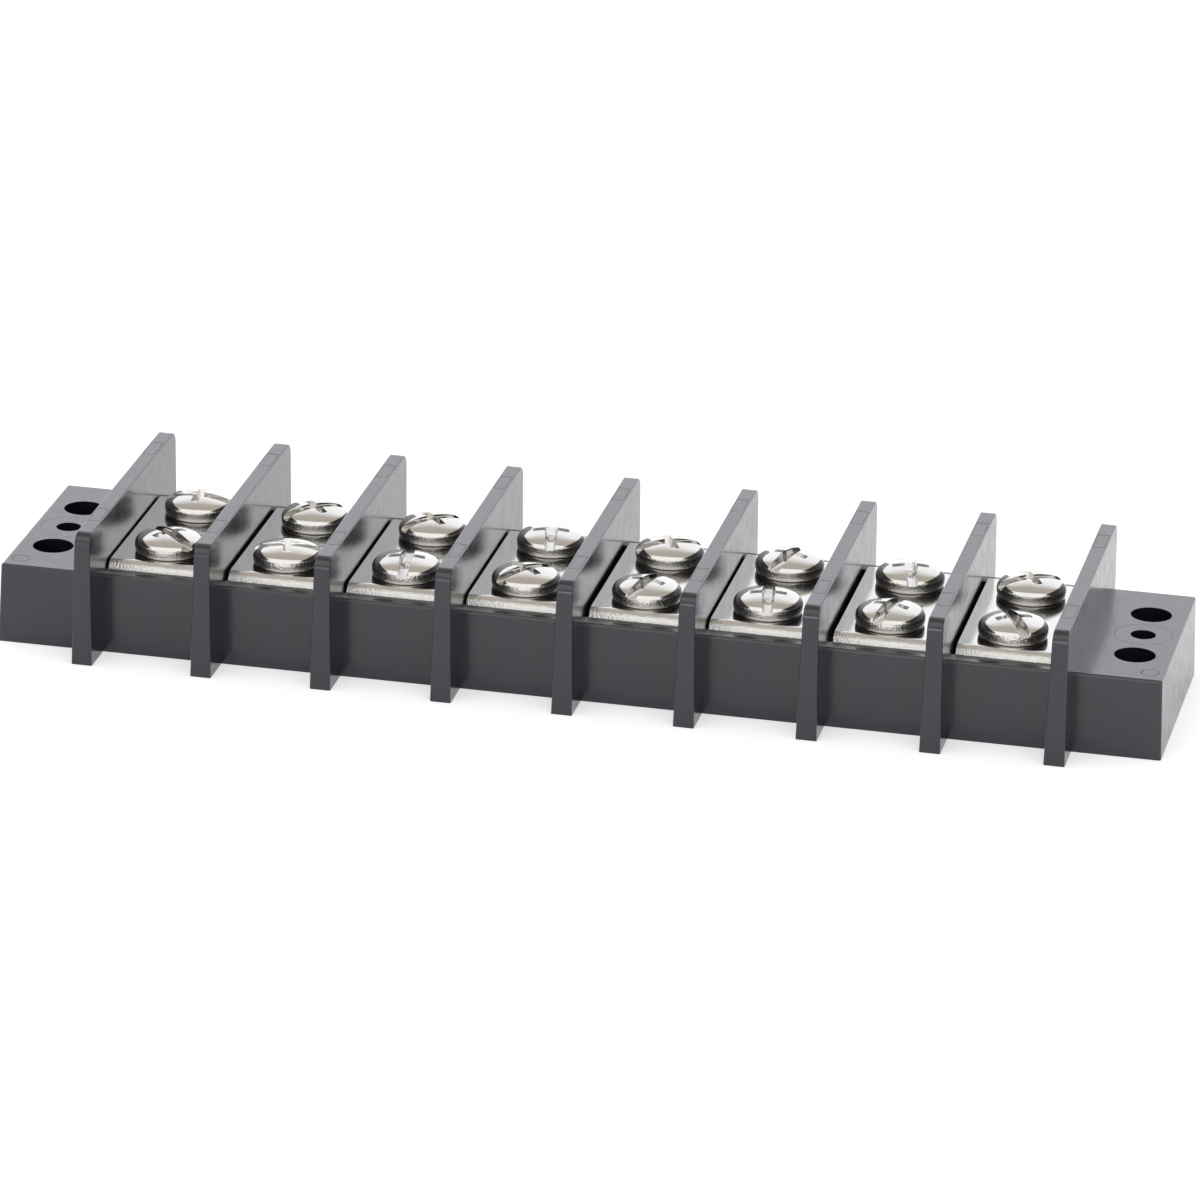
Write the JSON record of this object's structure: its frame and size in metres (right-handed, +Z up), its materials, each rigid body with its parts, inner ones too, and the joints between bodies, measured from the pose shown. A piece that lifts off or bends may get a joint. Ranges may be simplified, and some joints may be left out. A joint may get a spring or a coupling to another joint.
{
  "type": "barrier terminal strip",
  "caption": "Black moulded barrier terminal strip with folded metal plates between upright walls, pan-head terminal screws in two rows, and drilled end blocks.",
  "frame": {"origin": "middle of the underside, where the strip rests on its panel", "axes": "+X along the strip from left to right as seen from the front row of screws, +Y from the front row to the rear row, +Z up out of the panel"},
  "size_m": [0.1374, 0.0384, 0.0161],
  "materials": {
    "moulding": "semi-gloss moulded",
    "plate_metal": "nickel plated, satin",
    "screw_metal": "nickel plated, bright"
  },
  "bodies": {
    "strip": {"base_moulding": "moulding", "terminal_plate_1": "plate_metal", "terminal_plate_2": "plate_metal", "terminal_plate_3": "plate_metal", "terminal_plate_4": "plate_metal", "terminal_plate_5": "plate_metal", "terminal_plate_6": "plate_metal", "terminal_plate_7": "plate_metal", "terminal_plate_8": "plate_metal"},
    "screw_front_1": {"screw_front_1": "screw_metal"},
    "screw_front_2": {"screw_front_2": "screw_metal"},
    "screw_front_3": {"screw_front_3": "screw_metal"},
    "screw_front_4": {"screw_front_4": "screw_metal"},
    "screw_front_5": {"screw_front_5": "screw_metal"},
    "screw_front_6": {"screw_front_6": "screw_metal"},
    "screw_front_7": {"screw_front_7": "screw_metal"},
    "screw_front_8": {"screw_front_8": "screw_metal"},
    "screw_rear_1": {"screw_rear_1": "screw_metal"},
    "screw_rear_2": {"screw_rear_2": "screw_metal"},
    "screw_rear_3": {"screw_rear_3": "screw_metal"},
    "screw_rear_4": {"screw_rear_4": "screw_metal"},
    "screw_rear_5": {"screw_rear_5": "screw_metal"},
    "screw_rear_6": {"screw_rear_6": "screw_metal"},
    "screw_rear_7": {"screw_rear_7": "screw_metal"},
    "screw_rear_8": {"screw_rear_8": "screw_metal"}
  },
  "joints": [
    {"name": "back_out_front_1", "type": "slide", "parent": "strip", "child": "screw_front_1", "axis": [0, 0, 1], "range_m": [0, 0.005]},
    {"name": "back_out_front_2", "type": "slide", "parent": "strip", "child": "screw_front_2", "axis": [0, 0, 1], "range_m": [0, 0.005]},
    {"name": "back_out_front_3", "type": "slide", "parent": "strip", "child": "screw_front_3", "axis": [0, 0, 1], "range_m": [0, 0.005]},
    {"name": "back_out_front_4", "type": "slide", "parent": "strip", "child": "screw_front_4", "axis": [0, 0, 1], "range_m": [0, 0.005]},
    {"name": "back_out_front_5", "type": "slide", "parent": "strip", "child": "screw_front_5", "axis": [0, 0, 1], "range_m": [0, 0.005]},
    {"name": "back_out_front_6", "type": "slide", "parent": "strip", "child": "screw_front_6", "axis": [0, 0, 1], "range_m": [0, 0.005]},
    {"name": "back_out_front_7", "type": "slide", "parent": "strip", "child": "screw_front_7", "axis": [0, 0, 1], "range_m": [0, 0.005]},
    {"name": "back_out_front_8", "type": "slide", "parent": "strip", "child": "screw_front_8", "axis": [0, 0, 1], "range_m": [0, 0.005]},
    {"name": "back_out_rear_1", "type": "slide", "parent": "strip", "child": "screw_rear_1", "axis": [0, 0, 1], "range_m": [0, 0.005]},
    {"name": "back_out_rear_2", "type": "slide", "parent": "strip", "child": "screw_rear_2", "axis": [0, 0, 1], "range_m": [0, 0.005]},
    {"name": "back_out_rear_3", "type": "slide", "parent": "strip", "child": "screw_rear_3", "axis": [0, 0, 1], "range_m": [0, 0.005]},
    {"name": "back_out_rear_4", "type": "slide", "parent": "strip", "child": "screw_rear_4", "axis": [0, 0, 1], "range_m": [0, 0.005]},
    {"name": "back_out_rear_5", "type": "slide", "parent": "strip", "child": "screw_rear_5", "axis": [0, 0, 1], "range_m": [0, 0.005]},
    {"name": "back_out_rear_6", "type": "slide", "parent": "strip", "child": "screw_rear_6", "axis": [0, 0, 1], "range_m": [0, 0.005]},
    {"name": "back_out_rear_7", "type": "slide", "parent": "strip", "child": "screw_rear_7", "axis": [0, 0, 1], "range_m": [0, 0.005]},
    {"name": "back_out_rear_8", "type": "slide", "parent": "strip", "child": "screw_rear_8", "axis": [0, 0, 1], "range_m": [0, 0.005]}
  ]
}
